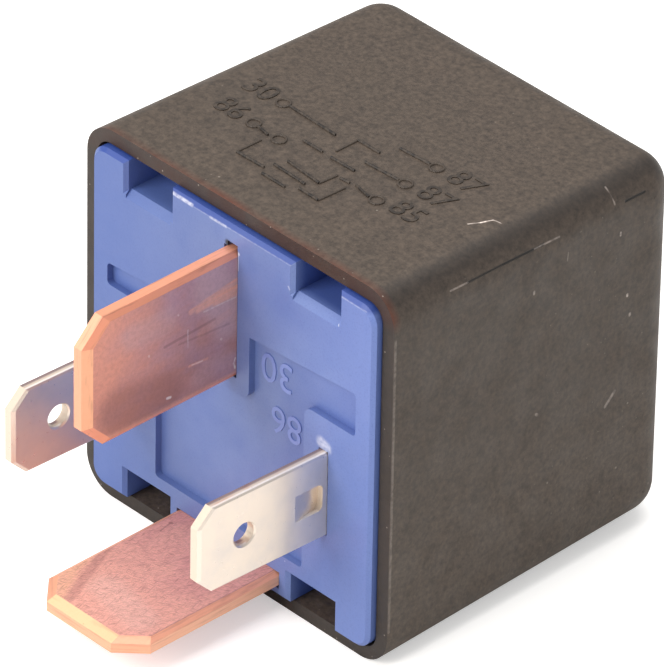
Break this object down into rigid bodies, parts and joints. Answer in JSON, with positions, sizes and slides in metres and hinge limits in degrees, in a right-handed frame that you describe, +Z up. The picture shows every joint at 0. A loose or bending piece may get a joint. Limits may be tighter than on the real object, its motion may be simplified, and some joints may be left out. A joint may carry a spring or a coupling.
{
  "type": "automotive relay",
  "caption": "Square plug-in power relay for a vehicle: plastic cover, blue base with flat blades, and a hinged armature over a coil.",
  "frame": {"origin": "centre of the bounding box in X and Y, at the height of the cover's lower rim edge", "axes": "+Y from the blades into the cover, +Z up with the relay lying on one side, +X along the terminal face"},
  "size_m": [0.028, 0.0386, 0.028],
  "materials": {
    "cover_plastic": "fine spark-eroded grain, semi-matte",
    "base_plastic": "moulded, semi-matte",
    "copper_30": "bare copper, rolled face, lightly tarnished",
    "copper_87": "bare copper, rolled face, brushed and scratched",
    "tinned_85": "tin plated, satin",
    "tinned_86": "tin plated, satin",
    "magnet_steel": "zinc plated soft iron",
    "bobbin_plastic": "moulded, natural colour",
    "magnet_wire": "enamelled copper wire, glossy",
    "rivet_steel": "zinc plated",
    "spring_bronze": "rolled spring strip",
    "spring_steel": "rolled spring strip",
    "contact_silver": "silver alloy",
    "braid_copper": "flat braid of fine copper wires",
    "bracket_steel": "zinc plated strip",
    "resistor_coat": "lacquered",
    "lead_tin": "tinned wire"
  },
  "bodies": {
    "housing": {"cover": "cover_plastic", "base": "base_plastic", "terminal_30": "copper_30", "terminal_87": "copper_87", "terminal_85": "tinned_85", "terminal_86": "tinned_86", "core": "magnet_steel", "yoke": "magnet_steel", "bobbin": "bobbin_plastic", "coil_winding": "magnet_wire", "coil_lead_85": "magnet_wire", "coil_lead_86": "magnet_wire", "yoke_rivets": "rivet_steel", "return_spring": "spring_steel", "fixed_contact": "contact_silver", "copper_braid": "braid_copper", "stop_bracket": "bracket_steel", "resistor_body": "resistor_coat", "resistor_lead_85": "lead_tin", "resistor_lead_86": "lead_tin"},
    "armature": {"armature": "magnet_steel", "armature_rivets": "rivet_steel", "contact_spring": "spring_bronze", "moving_contact": "contact_silver"}
  },
  "joints": [
    {"name": "armature_hinge", "type": "hinge", "parent": "housing", "child": "armature", "pos_m": [0, 0.01258, 0.0225], "axis": [-1, 0, 0], "range_deg": [0, 3.6], "stiffness_Nm_per_rad": 0.1, "deforming": ["return_spring", "copper_braid"]}
  ]
}
